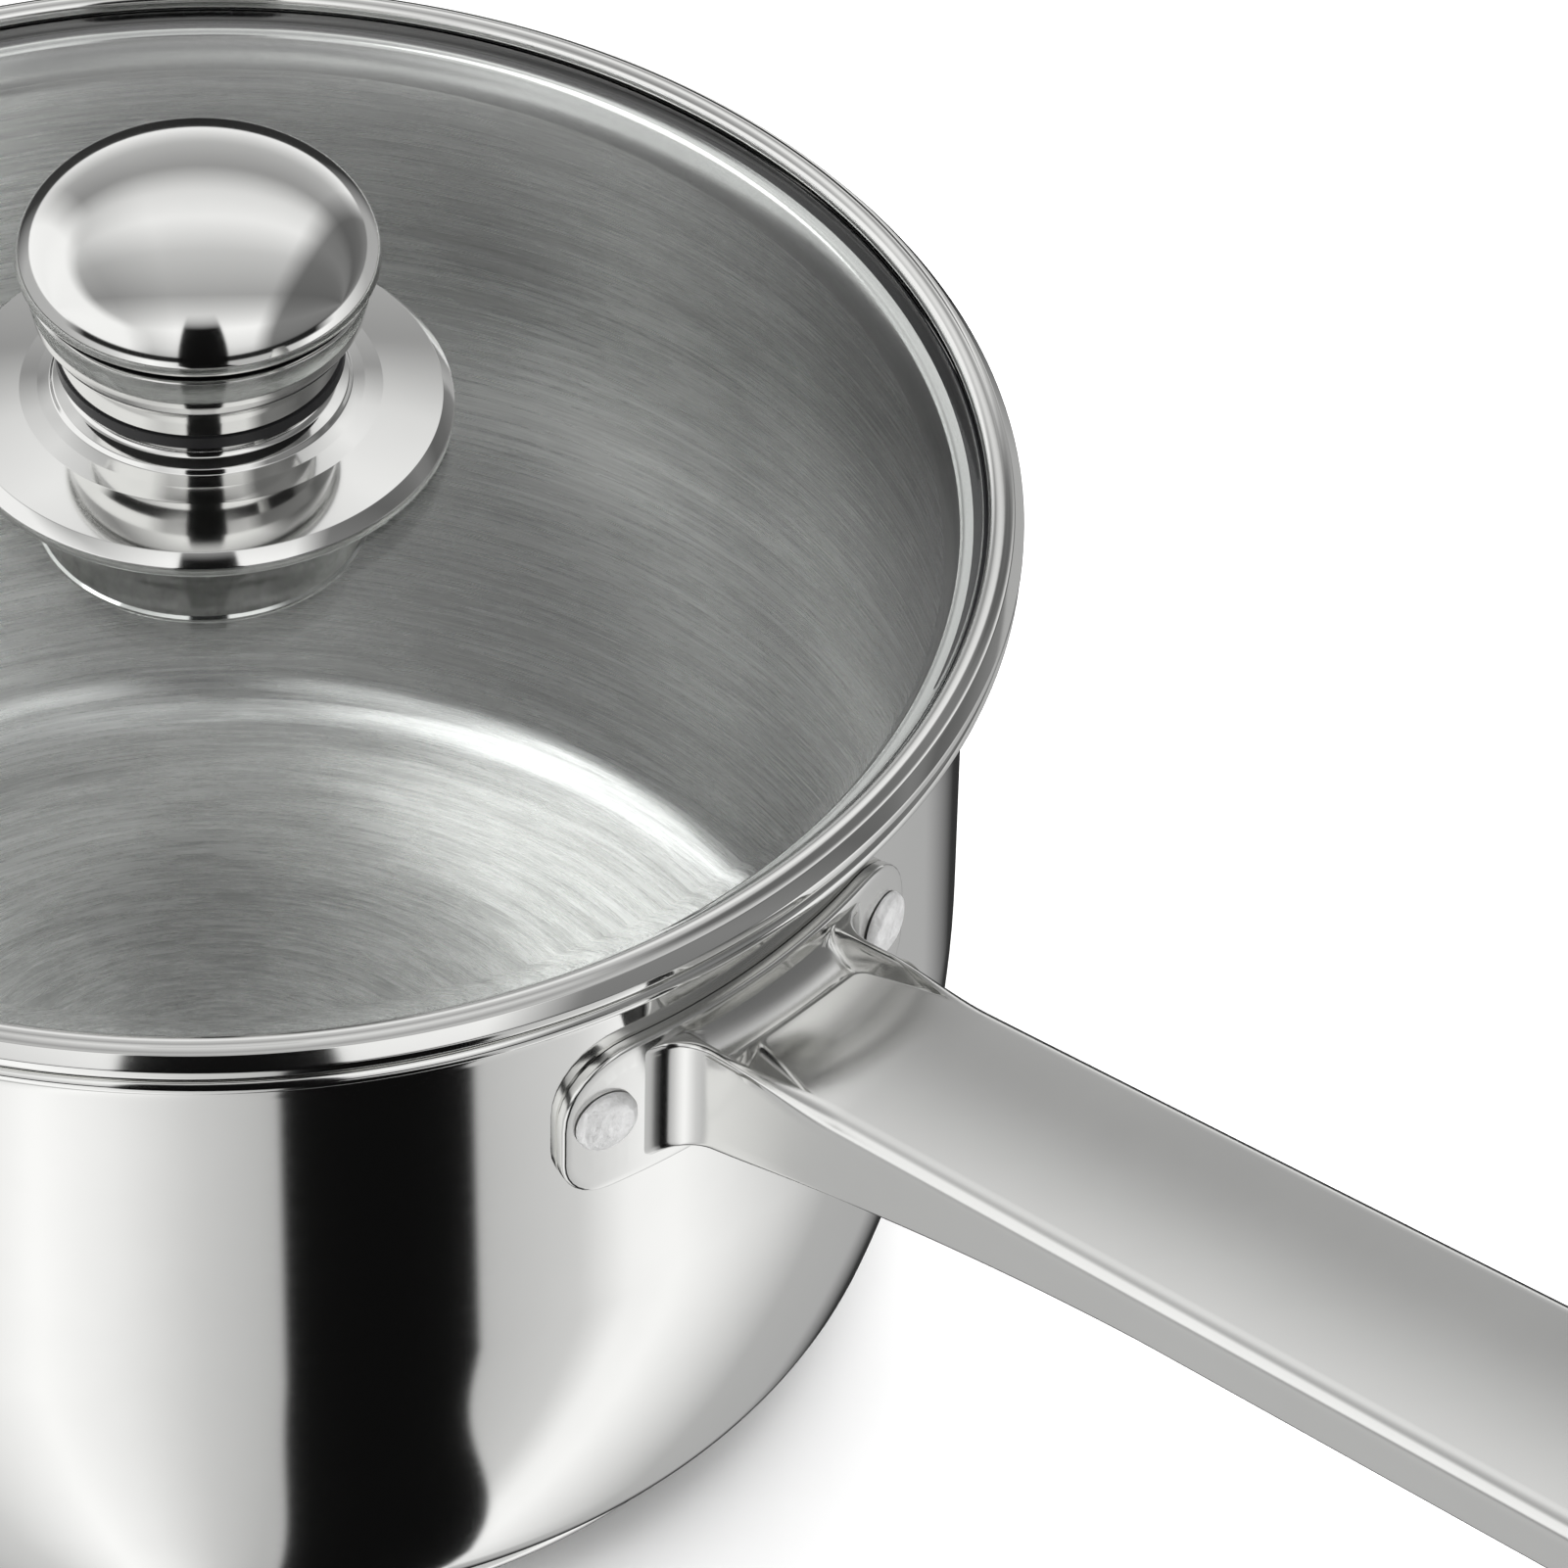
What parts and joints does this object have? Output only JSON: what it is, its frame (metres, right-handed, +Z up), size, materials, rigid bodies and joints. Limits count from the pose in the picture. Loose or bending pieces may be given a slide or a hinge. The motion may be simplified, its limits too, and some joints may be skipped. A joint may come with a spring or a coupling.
{
  "type": "saucepan with lid",
  "caption": "Round steel saucepan with a long hollow side handle and a domed glass lid with a steel rim and a knob.",
  "frame": {"origin": "centre of the base, in the plane that the pan stands on", "axes": "+Z up along the pan's axis, +X along the handle towards its tip"},
  "size_m": [0.3316, 0.1732, 0.1441],
  "materials": {
    "steel_polished": "mirror-polished stainless steel",
    "rivet_metal": "hammered satin steel",
    "aluminium": "plain",
    "glass": "clear tempered glass",
    "seal": "black silicone",
    "black_plastic": "heat-resistant moulding",
    "brass": "turned"
  },
  "bodies": {
    "pan": {"pot_body": "steel_polished", "base_shell": "steel_polished", "base_core": "aluminium", "handle_shell": "steel_polished", "handle_underplate": "steel_polished", "hanging_eyelet": "steel_polished", "rivet_left": "rivet_metal", "rivet_right": "rivet_metal"},
    "lid": {"lid_ring": "steel_polished", "lid_glass": "glass", "lid_seal": "seal", "knob_base_plate": "steel_polished", "upper_seal": "seal", "knob_boss": "black_plastic", "knob_spacer": "black_plastic", "knob_cup": "steel_polished", "knob_cap": "steel_polished", "knob_core": "black_plastic", "knob_insert": "brass", "lower_seal": "seal", "under_cup": "steel_polished", "spring_washer": "rivet_metal", "knob_screw": "rivet_metal"}
  },
  "joints": [
    {"name": "lid_lift", "type": "slide", "parent": "pan", "child": "lid", "axis": [0, 0, 1], "range_m": [0, 0.12]}
  ]
}
